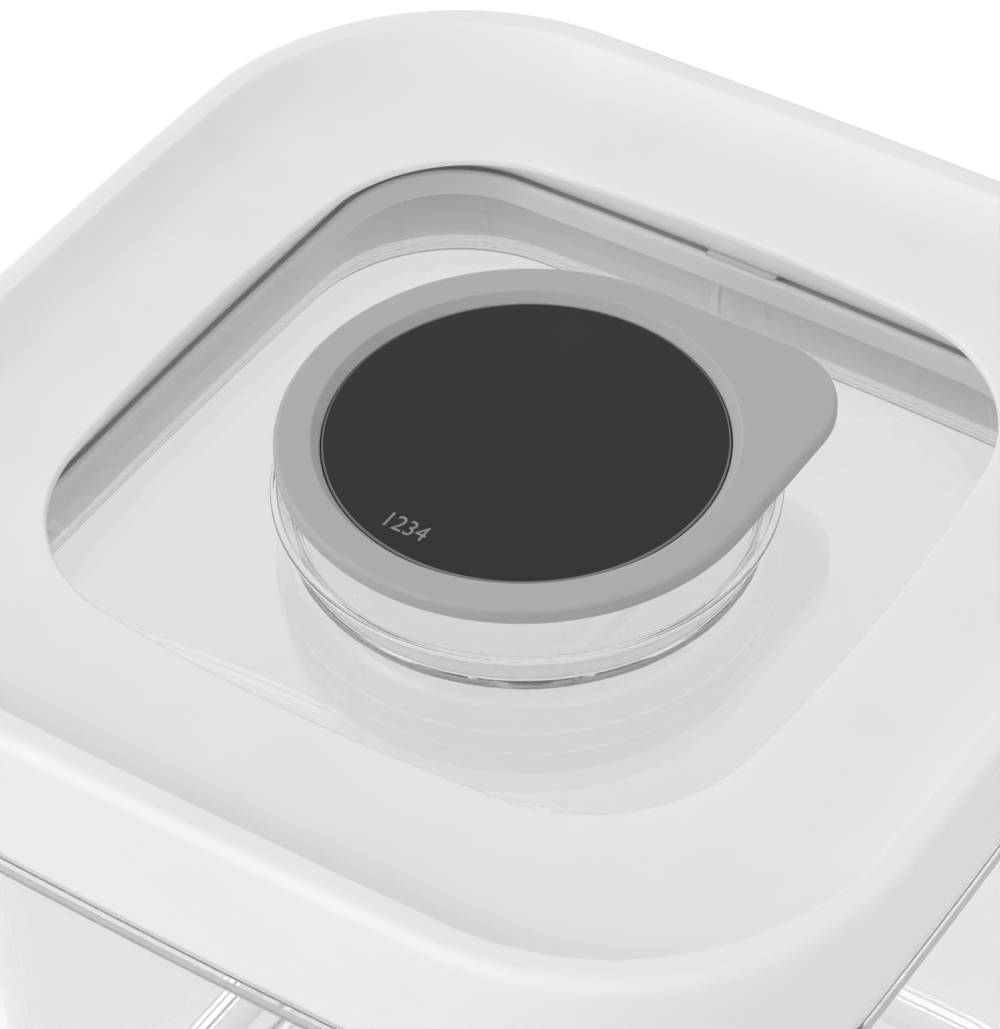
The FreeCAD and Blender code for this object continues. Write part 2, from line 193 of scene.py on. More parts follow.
# Stage
FLOOR_SIZE = 4000.0
KEY_PLACE = (-680.0, -1000.0, 900.0)
KEY_SIZE = 900.0
KEY_POWER = 2.5
SKY_LIGHT = 0.89
SKY_SLOPE = (-0.16, -0.24, 0.0)  # how the surroundings brighten, towards the front left
FLOOR_GLOW = 0.2


def heights(node):
    """Lowest and highest z of a CAD node."""
    low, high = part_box(node)
    return low.z / MM, high.z / MM


foot_z, neck_z = heights("container")
shoulder_z, crest_z = heights("lid_frame")
plug_z, boss_z = heights("lid_window")
seal_foot_z, window_under_z = heights("lid_seal")
hub_z, cap_z = heights("valve_cap")
peg_z, disc_z = heights("valve_disc")
barb_tip_z, head_top_z = heights("valve_flap")
band_z = crest_z - LIP_HEIGHT
band_under_z = band_z - FRAME_WALL
land_z = band_z - OPENING_LAND
well_z = band_z - WELL_DEPTH
collar_z = well_z - COLLAR_DROP
window_z = window_under_z + WINDOW_THICKNESS
leg_z = window_under_z - SEAL_THICKNESS
pocket_z = disc_z - DISC_THICKNESS - FIT
dish_z = pocket_z - CAP_FLOOR
cap_under_z = cap_z - CAP_THICKNESS
head_z = head_top_z - HEAD_HEIGHT
dome_z = head_z - FLAP_EDGE
flap_z = dome_z - FLAP_DOME
barb_z = barb_tip_z + BARB_LENGTH
disc_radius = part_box("valve_disc")[1].x / MM
cap_radius = -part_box("valve_cap")[0].x / MM
flap_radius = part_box("valve_flap")[1].x / MM
boss_radius = cap_radius + BOSS_PROUD - BOSS_FLARE


# Outlines: each is two arrays, the points of a closed line round the Z axis and the directions out of it


def polar(angles):
    """Level unit vectors at angles from the X axis, in radians."""
    return np.stack((np.cos(angles), np.sin(angles), np.zeros_like(angles)), axis=-1)


def bowed_square(width, bow, corner):
    """Square with bowed sides and round corners: eight touching arcs, each centre + radius * direction.
    Each arc is divided alike on every such square, so that two of them can be joined point by point."""
    side = width / 2 - bow
    reach = bow - corner
    middle = (side + math.sqrt(2 * reach**2 - side**2)) / 2
    turn = math.atan2(middle, middle - side)
    half_corner = math.pi / 4 - turn
    points = []
    normals = []
    for quarter in range(4):
        start = quarter * math.pi / 2
        along = polar(start + turn * SIDE_SHARES)
        round_corner = polar(start + math.pi / 4 + half_corner * CORNER_SHARES)
        centre = polar(np.array(start)) * side
        corner_centre = polar(np.array(start + math.pi / 4)) * middle * math.sqrt(2)
        points += [centre + bow * along, corner_centre + corner * round_corner]
        normals += [along, round_corner]
    return np.concatenate(points), np.concatenate(normals)


SIDE_SHARES = np.linspace(-1, 1, SIDE_STEPS + 1)
CORNER_SHARES = np.linspace(-1, 1, CORNER_STEPS + 1)[1:-1]
PLAN = bowed_square(LID_WIDTH, SIDE_BOW, LID_CORNER)
OPENING = bowed_square(LID_WIDTH - 2 * BAND_WIDTH, OPENING_BOW, OPENING_CORNER)


def centred(outline):
    """The Z axis as an outline: all points at the centre, with directions to an outline's points."""
    points, _ = outline
    return np.zeros_like(points), polar(np.arctan2(points[:, 1], points[:, 0]))


PLAN_CENTRE = centred(PLAN)
RING_CENTRE = centred((polar(np.arange(RING_STEPS) * 2 * math.pi / RING_STEPS), None))


def tab_outline():
    """Circle of the valve's ring with one square corner, rounded at its tip: arc, line, arc, line."""
    ring = polar(np.linspace(math.pi / 2, 2 * math.pi, RING_STEPS))
    tip = polar(np.linspace(0, math.pi / 2, TAB_STEPS))
    straight = cap_radius - TAB_ROUND
    tip_points = np.array((straight, straight, 0)) + TAB_ROUND * tip
    run = np.linspace(0, straight, TAB_STEPS)[1:-1, None]
    right = np.array((cap_radius, 0, 0)) + run * polar(np.array(math.pi / 2))
    back = right[::-1, (1, 0, 2)]
    normals = [ring, np.broadcast_to(tip[0], right.shape), tip, np.broadcast_to(tip[-1], back.shape)]
    return np.concatenate((cap_radius * ring, right, tip_points, back)), np.concatenate(normals)


TAB = tab_outline()
TAB_CENTRE = centred(TAB)


# Profiles and the surfaces that carry them


def quarter_turn(vectors):
    """Plane vectors turned a quarter to the left."""
    return np.stack((-vectors[..., 1], vectors[..., 0]), axis=-1)


def rounded(corners):
    """Open profile through corners given as inset, z, radius: straight runs, and an arc of each radius.
    Gives the points, and the directions in which the profile comes to each point and leaves it."""
    spots = np.array([corner[:2] for corner in corners], float)
    runs = np.diff(spots, axis=0)
    runs /= np.linalg.norm(runs, axis=1, keepdims=True)
    points = [spots[:1]]
    arrive = [runs[:1]]
    leave = [runs[:1]]
    for i, (_, _, radius) in enumerate(corners[1:-1]):
        spot, before, after = spots[i + 1], runs[i], runs[i + 1]
        turn = math.atan2(before[0] * after[1] - before[1] * after[0], before @ after)
        if radius == 0:
            points.append(spot[None])
            arrive.append(before[None])
            leave.append(after[None])
            continue
        steps = math.ceil(abs(turn) / math.radians(ARC_STEP))
        angles = np.linspace(0, turn, steps + 1)[:, None]
        way = np.cos(angles) * before + np.sin(angles) * quarter_turn(before)
        lean = math.copysign(radius, turn)
        centre = spot - before * radius * math.tan(abs(turn) / 2) + lean * quarter_turn(before)
        points.append(centre - lean * quarter_turn(way))
        arrive.append(way)
        leave.append(way)
    points.append(spots[-1:])
    arrive.append(runs[-1:])
    leave.append(runs[-1:])
    return [np.concatenate(rows) for rows in (points, arrive, leave)]


def carry(outline, corners):
    """Rows of a surface, one for each point of a profile: row = outline - inset * normal + z * up.
    With each row go the directions across it, before and after, and the direction along it."""
    base, normal = outline
    points, arrive, leave = rounded(corners)

    def spread(pairs):
        return pairs[:, None, 1:] * UP - pairs[:, None, :1] * normal

    place = base + spread(points)
    along = np.broadcast_to(np.cross(UP, normal), place.shape)
    return place, spread(arrive), spread(leave), along


def turn(outline, corners):
    """The same for a profile of radius, z, rounding about the Z axis."""
    return carry(outline, [(-radius, z, rounding) for radius, z, rounding in corners])


def unit(vectors):
    """Vectors of length 1."""
    return vectors / np.maximum(np.linalg.norm(vectors, axis=-1, keepdims=True), TINY)


def skin(name, strips, closed):
    """Mesh of strips of rows, one after the other, with straight runs between strips.
    closed joins the last row to the first; otherwise the first and last row close onto the Z axis.
    Every face corner has the surface's own normal, along x across: flats are flat, arcs smooth."""
    place, arrive, leave, along = [np.concatenate(rows) for rows in zip(*strips)]
    count, around = place.shape[:2]
    ends = np.cumsum([len(strip[0]) for strip in strips]) - 1
    starts = (ends + 1) % count
    leave[ends] = place[starts] - place[ends]
    arrive[starts] = leave[ends]
    first = np.cross(along, leave)
    second = np.cross(along, arrive)
    here = np.arange(count if closed else count - 1)[:, None]
    there = (here + 1) % count
    column = np.arange(around)
    beside = (column + 1) % around
    row = here * around
    next_row = there * around
    corners = np.broadcast_arrays(row + column, row + beside, next_row + beside, next_row + column)
    quads = np.stack(corners, axis=-1).reshape(-1, 4)
    normals = np.stack((first[here, column], first[here, beside],
                        second[there, beside], second[there, column]), axis=2).reshape(-1, 3)
    vertices = place.reshape(-1, 3)
    faces = quads.tolist()
    if not closed:
        poles = np.array(((0, 0, place[0, 0, 2]), (0, 0, place[-1, 0, 2])))
        low, high = len(vertices), len(vertices) + 1
        last = (count - 1) * around
        faces += np.stack((np.full(around, low), beside, column), axis=-1).tolist()
        faces += np.stack((last + column, last + beside, np.full(around, high)), axis=-1).tolist()
        vertices = np.concatenate((vertices, poles))
        normals = np.concatenate((normals, np.tile(-UP, (3 * around, 1)), np.tile(UP, (3 * around, 1))))
    return piece(name, vertices, faces, unit(normals))


def piece(name, vertices, faces, normals=None):
    """Object at the origin from vertices in millimetres, with its own normals or flat faces."""
    mesh = bpy.data.meshes.new(name)
    mesh.from_pydata((np.asarray(vertices) * MM).tolist(), [], faces)
    if normals is not None:
        mesh.polygons.foreach_set("use_smooth", np.ones(len(faces), bool))
        mesh.normals_split_custom_set(normals.tolist())
    made = bpy.data.objects.new(name, mesh)
    bpy.context.scene.collection.objects.link(made)
    return made


# Insets of the lid and the tub


def skirt_inset(z):
    """Inset of the frame's outer skirt at height z: a leaning line that puts the lip's edge at 0."""
    draft = math.radians(SKIRT_DRAFT)
    peak = LIP_EDGE * (1 - (1 + math.sin(draft)) / math.cos(draft))
    return peak + math.tan(draft) * (crest_z - z)


def lip_cove():
    """Inset of the foot of the lip's inner slope, and the radius of the cove that fills the slope."""
    slope = math.radians(LIP_SLOPE)
    half = math.tan(slope / 2)
    radius = COVE_FILL * (LIP_HEIGHT / math.sin(slope) / half - LIP_CREASE)
    return LIP_WIDTH + LIP_HEIGHT / math.tan(slope), radius


WINDOW_INSET = skirt_inset(window_under_z) + FRAME_WALL + WINDOW_GAP
CLIP_TIP = WINDOW_INSET + CLIP_REACH
WELL_INSET = BAND_WIDTH - WELL_UNDERCUT
COLLAR_OUTER = WELL_INSET + SLOT_GAP


def tub_inset(z):
    """Inset of the tub's inner wall at height z."""
    at_shoulder = skirt_inset(shoulder_z) + FRAME_WALL + NECK_GAP + NECK_WALL
    return at_shoulder + math.tan(math.radians(TUB_DRAFT)) * (shoulder_z - z)


def plug_inset(z):
    """Inset of the outside of the window's clear skirt at height z."""
    foot = tub_inset(plug_z) + PLUG_GAP
    return foot + PLUG_FLARE * (z - plug_z) / (window_under_z - plug_z)


# Pieces


def tub():
    """One profile: from under the floor round the foot, up the wall, over the neck and down inside."""
    floor_z = FOOT_HEIGHT + FLOOR_THICKNESS
    foot_inset = tub_inset(0) - TUB_WALL
    hollow_inset = foot_inset + FOOT_WIDTH
    shoulder_inset = skirt_inset(shoulder_z) - SHOULDER_PROUD
    under_z = shoulder_z - SHOULDER_THICKNESS
    wall = carry(PLAN, [
        (FLOOR_MIDDLE, FOOT_HEIGHT, 0),
        (hollow_inset, FOOT_HEIGHT, EDGE_ROUND),
        (hollow_inset, foot_z, EDGE_ROUND),
        (foot_inset, foot_z, FOOT_ROUND),
        (tub_inset(under_z) - TUB_WALL, under_z, SHOULDER_ROUND),
        (shoulder_inset, under_z, SHOULDER_ROUND),
        (shoulder_inset, shoulder_z, SHOULDER_ROUND),
        (tub_inset(shoulder_z) - NECK_WALL, shoulder_z, EDGE_ROUND),
        (tub_inset(neck_z) - NECK_WALL, neck_z, NECK_ROUND),
        (tub_inset(neck_z), neck_z, NECK_ROUND),
        (tub_inset(floor_z), floor_z, FLOOR_ROUND),
        (FLOOR_MIDDLE, floor_z, 0),
    ])
    return skin("tub", [wall], closed=False)


def lid_frame():
    """Skirt, lip and band on the plan outline, then the opening's edge, the well's wall and the inside."""
    foot_inset = skirt_inset(shoulder_z)
    slope_foot, cove = lip_cove()
    outside = carry(PLAN, [
        (foot_inset + FRAME_WALL / 2, shoulder_z - CONTACT, 0),
        (foot_inset, shoulder_z - CONTACT, SKIRT_EDGE),
        (skirt_inset(crest_z), crest_z, LIP_EDGE),
        (LIP_WIDTH, crest_z, LIP_CREASE),
        (slope_foot, band_z, cove),
        (BAND_START, band_z, 0),
    ])
    brink = carry(OPENING, [
        (-2 * OPENING_ROUND, band_z, 0),
        (0, band_z, OPENING_ROUND),
        (0, land_z, 0),
    ])
    inside = carry(PLAN, [
        (WELL_INSET + WELL_ROUND * WELL_UNDERCUT / WELL_DEPTH, well_z + WELL_ROUND, 0),
        (WELL_INSET, well_z, WELL_ROUND / 2),
        (WELL_INSET - WELL_WALL, well_z, WELL_ROUND),
        (WELL_INSET - WELL_WALL, band_under_z, EDGE_ROUND),
        (skirt_inset(band_under_z) + FRAME_WALL, band_under_z, FRAME_WALL),
        (foot_inset + FRAME_WALL, shoulder_z - CONTACT, SKIRT_EDGE),
        (foot_inset + FRAME_WALL * FOOT_SEAM, shoulder_z - CONTACT, 0),
    ])
    return skin("frame", [outside, brink, inside], closed=True)


def clips():
    """Sixteen bars inside the frame: at each clip a hook under the window's edge and a rib above it.
    Each bar is a profile of inset and z, run along X for the clip's width, then turned to its side."""
    hook_z = window_under_z - FIT
    hook_low_z = hook_z - CLIP_HEIGHT
    rib = CLIP_TIP + PRESS_OFFSET
    hook = ((skirt_inset(hook_low_z) + FRAME_WALL / 2, hook_low_z), (CLIP_TIP, hook_z - CLIP_FACE),
            (CLIP_TIP, hook_z), (skirt_inset(hook_z) + FRAME_WALL / 2, hook_z))
    press = ((rib, window_z + FIT), (rib + PRESS_RIB, window_z + FIT),
             (rib + PRESS_RIB, band_under_z + FIT), (rib, band_under_z + FIT))
    inset, z = np.array((hook, press)).transpose(2, 0, 1)
    ends = np.array((1, -1)) * CLIP_WIDTH / 2
    middles = np.array((-1, 1)) * CLIP_SPACING / 2
    x = (middles[:, None] + ends)[:, None, :, None]
    y = inset[None, :, None, :] - LID_WIDTH / 2
    bars = np.stack(np.broadcast_arrays(x, y, z[None, :, None, :]), axis=-1)
    quarters = np.arange(4) * math.pi / 2
    spin = np.stack([np.array(Matrix.Rotation(angle, 3, "Z")) for angle in quarters])
    vertices = np.einsum("qij,cbekj->qcbeki", spin, bars).reshape(-1, 8, 3)
    box = np.array(((0, 1, 2, 3), (7, 6, 5, 4), (0, 4, 5, 1), (1, 5, 6, 2), (2, 6, 7, 3), (3, 7, 4, 0)))
    faces = box + 8 * np.arange(len(vertices))[:, None, None]
    return piece("frame_clips", vertices.reshape(-1, 3), faces.reshape(-1, 4).tolist())


def lid_collar():
    """Soft ring that stands on the window round the well: a wide sole and a thin, round-topped wall."""
    inner = COLLAR_OUTER + COLLAR_WALL
    foot = COLLAR_OUTER - COLLAR_FOOT
    sole_z = well_z - SLOT_DROP
    under_z = window_z - CONTACT
    section = carry(PLAN, [
        (foot + COLLAR_ROUND, under_z, 0),
        (foot, under_z, COLLAR_ROUND / 2),
        (foot, sole_z, COLLAR_ROUND / 2),
        (COLLAR_OUTER, sole_z, COLLAR_ROUND / 2),
        (COLLAR_OUTER, collar_z, COLLAR_ROUND),
        (inner, collar_z, COLLAR_ROUND),
        (inner + COLLAR_LEAN, under_z, 0),
        (foot + 2 * COLLAR_ROUND, under_z, 0),
    ])
    return skin("collar", [section], closed=True)


def collar_lugs():
    """Two blocks from the collar to under the well's wall, in the middle of the front and back sides."""
    y = LID_WIDTH / 2 - COLLAR_OUTER + np.array((COLLAR_FOOT / 2, -COLLAR_WALL / 2))
    x = np.array((1, -1)) * LUG_WIDTH / 2
    z = np.array((window_z, well_z))
    block = np.stack(np.meshgrid(x, y, z, indexing="ij"), axis=-1).reshape(-1, 3)
    vertices = np.concatenate((block, block * (-1, -1, 1)))
    box = np.array(((0, 1, 3, 2), (4, 6, 7, 5), (0, 4, 5, 1), (2, 3, 7, 6), (0, 2, 6, 4), (1, 5, 7, 3)))
    return piece("collar_lugs", vertices, np.concatenate((box, box + 8)).tolist())


def lid_window():
    """One closed profile: flat plate and boss on top, the stem's hole, and the flared skirt below."""
    stem_hole = STEM_RADIUS + STEM_CLEARANCE
    boss_outer = boss_radius + BOSS_FLARE
    boss_inner = boss_radius - BOSS_WALL
    bell_z = window_z + BELL_SHARE * (boss_z - window_z)
    edge = carry(PLAN, [
        (WINDOW_INSET + WINDOW_THICKNESS, window_under_z, 0),
        (WINDOW_INSET, window_under_z, EDGE_ROUND),
        (WINDOW_INSET, window_z, EDGE_ROUND),
        (WELL_INSET + COLLAR_WALL, window_z, 0),
    ])
    boss = turn(PLAN_CENTRE, [
        (boss_radius + 3 * BOSS_ROUND, window_z, 0),
        (boss_radius, window_z, BOSS_ROUND),
        (boss_radius, bell_z, BELL_ROUND),
        (boss_outer, boss_z, RIM_ROUND),
        (boss_outer - BOSS_WALL, boss_z, RIM_ROUND),
        (boss_inner, bell_z, BELL_ROUND),
        (boss_inner, window_z, BOSS_ROUND),
        (stem_hole, window_z, 0),
        (stem_hole, window_under_z, 0),
        (boss_inner, window_under_z, 0),
    ])
    plug = carry(PLAN, [
        (plug_inset(window_under_z) + 2 * PLUG_WALL, window_under_z, 0),
        (plug_inset(window_under_z) + PLUG_WALL, window_under_z, FIT),
        (plug_inset(plug_z) + PLUG_WALL, plug_z, PLUG_ROUND),
        (plug_inset(plug_z), plug_z, PLUG_ROUND),
        (plug_inset(window_under_z), window_under_z, 0),
        (WINDOW_INSET + 2 * WINDOW_THICKNESS, window_under_z, 0),
    ])
    return skin("window", [edge, boss, plug], closed=True)


def lid_seal():
    """Leg under the window's edge, a back that follows the clear skirt, and lips that face the neck."""
    leg = CLIP_TIP + SEAL_EDGE_GAP
    lip_tip = tub_inset(neck_z) + SEAL_LIP_GAP
    lip_root = lip_tip + SEAL_LIP_LENGTH
    pitch = (leg_z - seal_foot_z) / SEAL_LIP_COUNT
    lip_half = SEAL_LIP_FILL * pitch / 2
    corners = [
        (plug_inset(seal_foot_z) - FIT, seal_foot_z, 0),
        (lip_root, seal_foot_z, SEAL_ROUND),
    ]
    for i in reversed(range(SEAL_LIP_COUNT)):
        lip_z = leg_z - pitch / 2 - pitch * i
        corners += [
            (lip_root, lip_z - lip_half, 0),
            (lip_tip, lip_z, SEAL_ROUND),
            (lip_root, lip_z + lip_half, 0),
        ]
    corners += [
        (lip_root, leg_z, SEAL_ROUND),
        (leg, leg_z, SEAL_ROUND),
        (leg, window_under_z + CONTACT, SEAL_ROUND),
        (plug_inset(window_under_z) + CONTACT, window_under_z + CONTACT, 0),
        (plug_inset(seal_foot_z) + CONTACT, seal_foot_z, 0),
    ]
    return skin("seal", [carry(PLAN, corners)], closed=True)


def valve_cap():
    """Silicone ring with its tab, the dish that holds the disc and the hub below it."""
    pocket = disc_radius + DISC_GAP
    dish_radius = pocket + CAP_SIDE
    bevel_radius = pocket + CAP_BEVEL
    under = turn(TAB_CENTRE, [
        (HEAD_RADIUS + FIT, hub_z + HEAD_HEIGHT / 2, 0),
        (HEAD_RADIUS + FIT, hub_z, FLAP_ROUND),
        (HUB_RADIUS, hub_z, EDGE_ROUND),
        (HUB_RADIUS, dish_z, EDGE_ROUND),
        (dish_radius, dish_z, EDGE_ROUND),
        (dish_radius, cap_under_z, 0),
    ])
    ring = carry(TAB, [
        (CAP_EDGE * CAP_ROUND, cap_under_z, 0),
        (0, cap_under_z, CAP_ROUND),
        (0, cap_z, CAP_ROUND),
        (CAP_EDGE * CAP_ROUND, cap_z, 0),
    ])
    bed = turn(TAB_CENTRE, [
        (bevel_radius + CAP_BEVEL_ROUND, cap_z, 0),
        (bevel_radius, cap_z, CAP_BEVEL_ROUND),
        (pocket, disc_z - DISC_CHAMFER, FIT),
        (pocket, pocket_z, 0),
        (PEG_RADIUS + FIT, pocket_z, 0),
        (PEG_RADIUS + FIT, head_top_z + 2 * FIT, 0),
        (HEAD_RADIUS + FIT, head_top_z + 2 * FIT, 0),
    ])
    return skin("valve_ring", [under, ring, bed], closed=True)


def valve_disc():
    """Turned plate with a peg below and a fine chamfer round its top."""
    under_z = disc_z - DISC_THICKNESS
    plate = turn(RING_CENTRE, [
        (PEG_RADIUS / 2, peg_z, 0),
        (PEG_RADIUS, peg_z, FLAP_ROUND),
        (PEG_RADIUS, under_z, 0),
        (disc_radius, under_z, FLAP_ROUND),
        (disc_radius, disc_z - DISC_CHAMFER, FIT),
        (disc_radius - DISC_CHAMFER, disc_z, DISC_CHAMFER),
        (disc_radius / 2, disc_z, 0),
    ])
    return skin("disc", [plate], closed=False)


def valve_flap():
    """Turned umbrella: barbed stem, hollow canopy and the head that plugs into the ring's hub."""
    body = turn(RING_CENTRE, [
        (BARB_TIP / 2, barb_tip_z, 0),
        (BARB_TIP, barb_tip_z, FLAP_ROUND),
        (BARB_RADIUS, barb_z, FLAP_ROUND),
        (STEM_RADIUS, barb_z, FLAP_ROUND),
        (STEM_RADIUS, dome_z, FLAP_ROUND),
        (flap_radius - FLAP_LIP, flap_z, FLAP_ROUND),
        (flap_radius, flap_z, FLAP_ROUND),
        (flap_radius, flap_z + FLAP_EDGE, FLAP_ROUND),
        (HUB_RADIUS, head_z, FLAP_ROUND),
        (HEAD_RADIUS, head_z, FLAP_ROUND),
        (HEAD_RADIUS, head_top_z, FLAP_ROUND),
        (HEAD_RADIUS / 2, head_top_z, 0),
    ])
    return skin("flap", [body], closed=False)


def disc_number():
    """Digits printed on the disc: a text made into a mesh, sized to its place on the disc's top."""
    curve = bpy.data.curves.new("number", "FONT")
    curve.body = NUMBER
    curve.extrude = 1.0
    text = bpy.data.objects.new("number", curve)
    bpy.context.scene.collection.objects.link(text)
    bpy.context.view_layer.update()
    mesh = bpy.data.meshes.new_from_object(text.evaluated_get(bpy.context.evaluated_depsgraph_get()))
    bpy.data.objects.remove(text)
    bpy.data.curves.remove(curve)
    corners = np.empty(3 * len(mesh.vertices), np.float32)
    mesh.vertices.foreach_get("co", corners)
    corners = corners.reshape(-1, 3)
    low = corners.min(axis=0)
    size = np.ptp(corners, axis=0)
    target = np.array((NUMBER_LENGTH, NUMBER_HEIGHT, INK_THICKNESS))
    start = np.array((*NUMBER_PLACE, disc_z)) - target * (0.5, 0.5, 0)
    mesh.vertices.foreach_set("co", ((start + (corners - low) / size * target) * MM).ravel())
    mesh.update()
    mesh.name = "disc_number"
    made = bpy.data.objects.new("disc_number", mesh)
    bpy.context.scene.collection.objects.link(made)
    return made


# Materials


def linear(code):
    """sRGB hex as a linear colour."""
    parts = [int(code[i:i + 2], 16) / 255 for i in (0, 2, 4)]
    return [c / 12.92 if c <= 0.04045 else ((c + 0.055) / 1.055) ** 2.4 for c in parts] + [1.0]


def add(tree, kind, values=(), links=(), **settings):
    """Adds a shader node with settings, values of its sockets, and links as socket: (node, output)."""
    made = tree.nodes.new("ShaderNode" + kind)
    for name, value in settings.items():
        setattr(made, name, value)
    for socket, value in dict(values).items():
        made.inputs[socket].default_value = value
    for socket, (source, output) in dict(links).items():
        tree.links.new(source.outputs[output], made.inputs[socket])
    return made


def blank(name):
    """Empty node material, its tree and its output node."""
    material = bpy.data.materials.new(name)
    material.use_nodes = True
    material.node_tree.nodes.clear()
    return material, material.node_tree, add(material.node_tree, "OutputMaterial")


def noise(tree, where, size, detail):
    """Noise fixed to the piece, with features of a size in millimetres."""
    return add(tree, "TexNoise", {"Scale": 1 / (size * MM), "Detail": detail},
               {"Vector": (where, "Object")})


def shade(tree, source, dark, light):
    """Colour between two sRGB colours, by a noise."""
    return add(tree, "Mix", {FIRST: linear(dark), SECOND: linear(light)}, {FACTOR: (source, "Fac")},
               data_type="RGBA")


def seen(tree):
    """1 where the camera sees, also in mirrors and through glass, and 0 for light on a surface."""
    rays = add(tree, "LightPath")
    mirror = add(tree, "Math", {}, {0: (rays, "Is Glossy Ray"), 1: (rays, "Is Transmission Ray")},
                 operation="MAXIMUM")
    return add(tree, "Math", {}, {0: (rays, "Is Camera Ray"), 1: (mirror, 0)}, operation="MAXIMUM")


def moulded_polypropylene():
    """White polypropylene from a spark-eroded mould: an even satin white with a fine, soft grain."""
    material, tree, out = blank("moulded_white_polypropylene")
    where = add(tree, "TexCoord")
    cloud = noise(tree, where, 9.0, 3.0)
    grain = noise(tree, where, 0.25, 2.0)
    tone = shade(tree, cloud, "E4E4E4", "EAEAEA")
    gloss = add(tree, "MapRange", {"To Min": 0.40, "To Max": 0.50}, {"Value": (cloud, "Fac")})
    bump = add(tree, "Bump", {"Strength": 0.06, "Distance": 0.03 * MM}, {"Height": (grain, "Fac")})
    shader = add(tree, "BsdfPrincipled",
                 {"IOR": 1.49, "Subsurface Weight": 0.4, "Subsurface Radius": (1, 1, 1),
                  "Subsurface Scale": 3 * MM},
                 {"Base Color": (tone, MIXED), "Roughness": (gloss, "Result"),
                  "Normal": (bump, "Normal")})
    tree.links.new(shader.outputs[0], out.inputs["Surface"])
    return material


def clear_copolyester(name, tint):
    """Clear copolyester from a polished mould: glass-like, with a slow waviness from the melt's flow."""
    material, tree, out = blank(name)
    where = add(tree, "TexCoord")
    flow = noise(tree, where, 14.0, 1.0)
    gloss = add(tree, "MapRange", {"To Min": 0.0, "To Max": 0.03}, {"Value": (flow, "Fac")})
    bump = add(tree, "Bump", {"Strength": 0.15, "Distance": 0.05 * MM}, {"Height": (flow, "Fac")})
    shader = add(tree, "BsdfPrincipled",
                 {"Base Color": linear(tint), "IOR": 1.57, "Transmission Weight": 1.0},
                 {"Roughness": (gloss, "Result"), "Normal": (bump, "Normal")})
    passing = add(tree, "BsdfTransparent", {"Color": linear("FAFAFA")})
    rays = add(tree, "LightPath")
    mix = add(tree, "MixShader", {}, {0: (rays, "Is Shadow Ray"), 1: (shader, 0), 2: (passing, 0)})
    tree.links.new(mix.outputs[0], out.inputs["Surface"])
    return material


def moulded_silicone(name, dark, light, depth):
    """Moulded silicone rubber with a dull, slightly dusty surface, into which light goes by a depth."""
    material, tree, out = blank(name)
    where = add(tree, "TexCoord")
    cloud = noise(tree, where, 4.0, 4.0)
    dust = noise(tree, where, 0.2, 2.0)
    tone = shade(tree, cloud, dark, light)
    gloss = add(tree, "MapRange", {"To Min": 0.50, "To Max": 0.62}, {"Value": (dust, "Fac")})
    bump = add(tree, "Bump", {"Strength": 0.05, "Distance": 0.02 * MM}, {"Height": (dust, "Fac")})
    shader = add(tree, "BsdfPrincipled",
                 {"IOR": 1.41, "Subsurface Weight": 0.8, "Subsurface Radius": (1, 1, 1),
                  "Subsurface Scale": depth * MM},
                 {"Base Color": (tone, MIXED), "Roughness": (gloss, "Result"),
                  "Normal": (bump, "Normal")})
    tree.links.new(shader.outputs[0], out.inputs["Surface"])
    return material


def black_acrylic():
    """Black acrylic sheet with a silk-gloss face: deep black that mirrors the pale surroundings faintly.
    The chamfer round it is coloured a paler grey: a painted highlight, in place of the light that the
    chamfer catches."""
    material, tree, out = blank("silk_black_acrylic")
    where = add(tree, "TexCoord")
    haze = noise(tree, where, 6.0, 5.0)
    face = shade(tree, haze, "0E0E0F", "161617")
    # painted highlight: the disc's chamfer, beyond this radius, gets a paler grey in place of the light it
    # catches
    level = add(tree, "VectorMath", {1: (1, 1, 0)}, {0: (where, "Object")}, operation="MULTIPLY")
    radius = add(tree, "VectorMath", {}, {0: (level, "Vector")}, operation="LENGTH")
    edge = add(tree, "Math", {1: (disc_radius - DISC_CHAMFER) * MM}, {0: (radius, "Value")},
               operation="GREATER_THAN")
    # 8A8A8A is the painted highlight's grey on the chamfer
    tone = add(tree, "Mix", {SECOND: linear("8A8A8A")}, {FACTOR: (edge, 0), FIRST: (face, MIXED)},
               data_type="RGBA")
    gloss = add(tree, "MapRange", {"To Min": 0.16, "To Max": 0.26}, {"Value": (haze, "Fac")})
    shader = add(tree, "BsdfPrincipled", {"IOR": 1.37},
                 {"Base Color": (tone, MIXED), "Roughness": (gloss, "Result")})
    tree.links.new(shader.outputs[0], out.inputs["Surface"])
    return material


def printed_ink():
    """Pad-printed grey ink: flat and matt, with the small unevenness of a thin print."""
    material, tree, out = blank("pad_printed_grey_ink")
    where = add(tree, "TexCoord")
    patch = noise(tree, where, 0.3, 2.0)
    tone = shade(tree, patch, "7E7E7E", "8C8C8C")
    shader = add(tree, "BsdfPrincipled", {"IOR": 1.5, "Roughness": 0.55}, {"Base Color": (tone, MIXED)})
    tree.links.new(shader.outputs[0], out.inputs["Surface"])
    return material


def studio_paper():
    """Matt white studio paper, with a slight glow where it is seen, which makes it plain white."""
    material, tree, out = blank("white_studio_paper")
    glow = add(tree, "Math", {1: FLOOR_GLOW}, {0: (seen(tree), 0)}, operation="MULTIPLY")
    paper = add(tree, "BsdfDiffuse", {"Color": linear("F2F2F2")})
    light = add(tree, "Emission", {}, {"Strength": (glow, 0)})
    both = add(tree, "AddShader", {}, {0: (paper, 0), 1: (light, 0)})
    tree.links.new(both.outputs[0], out.inputs["Surface"])
    return material


# Stage, light and camera


def stage():
    """Level white floor under the canister."""
    half = FLOOR_SIZE / 2
    corners = [(-half, -half, 0), (half, -half, 0), (half, half, 0), (-half, half, 0)]
    floor = piece("floor", corners, [(0, 1, 2, 3)])
    floor.data.materials.append(studio_paper())


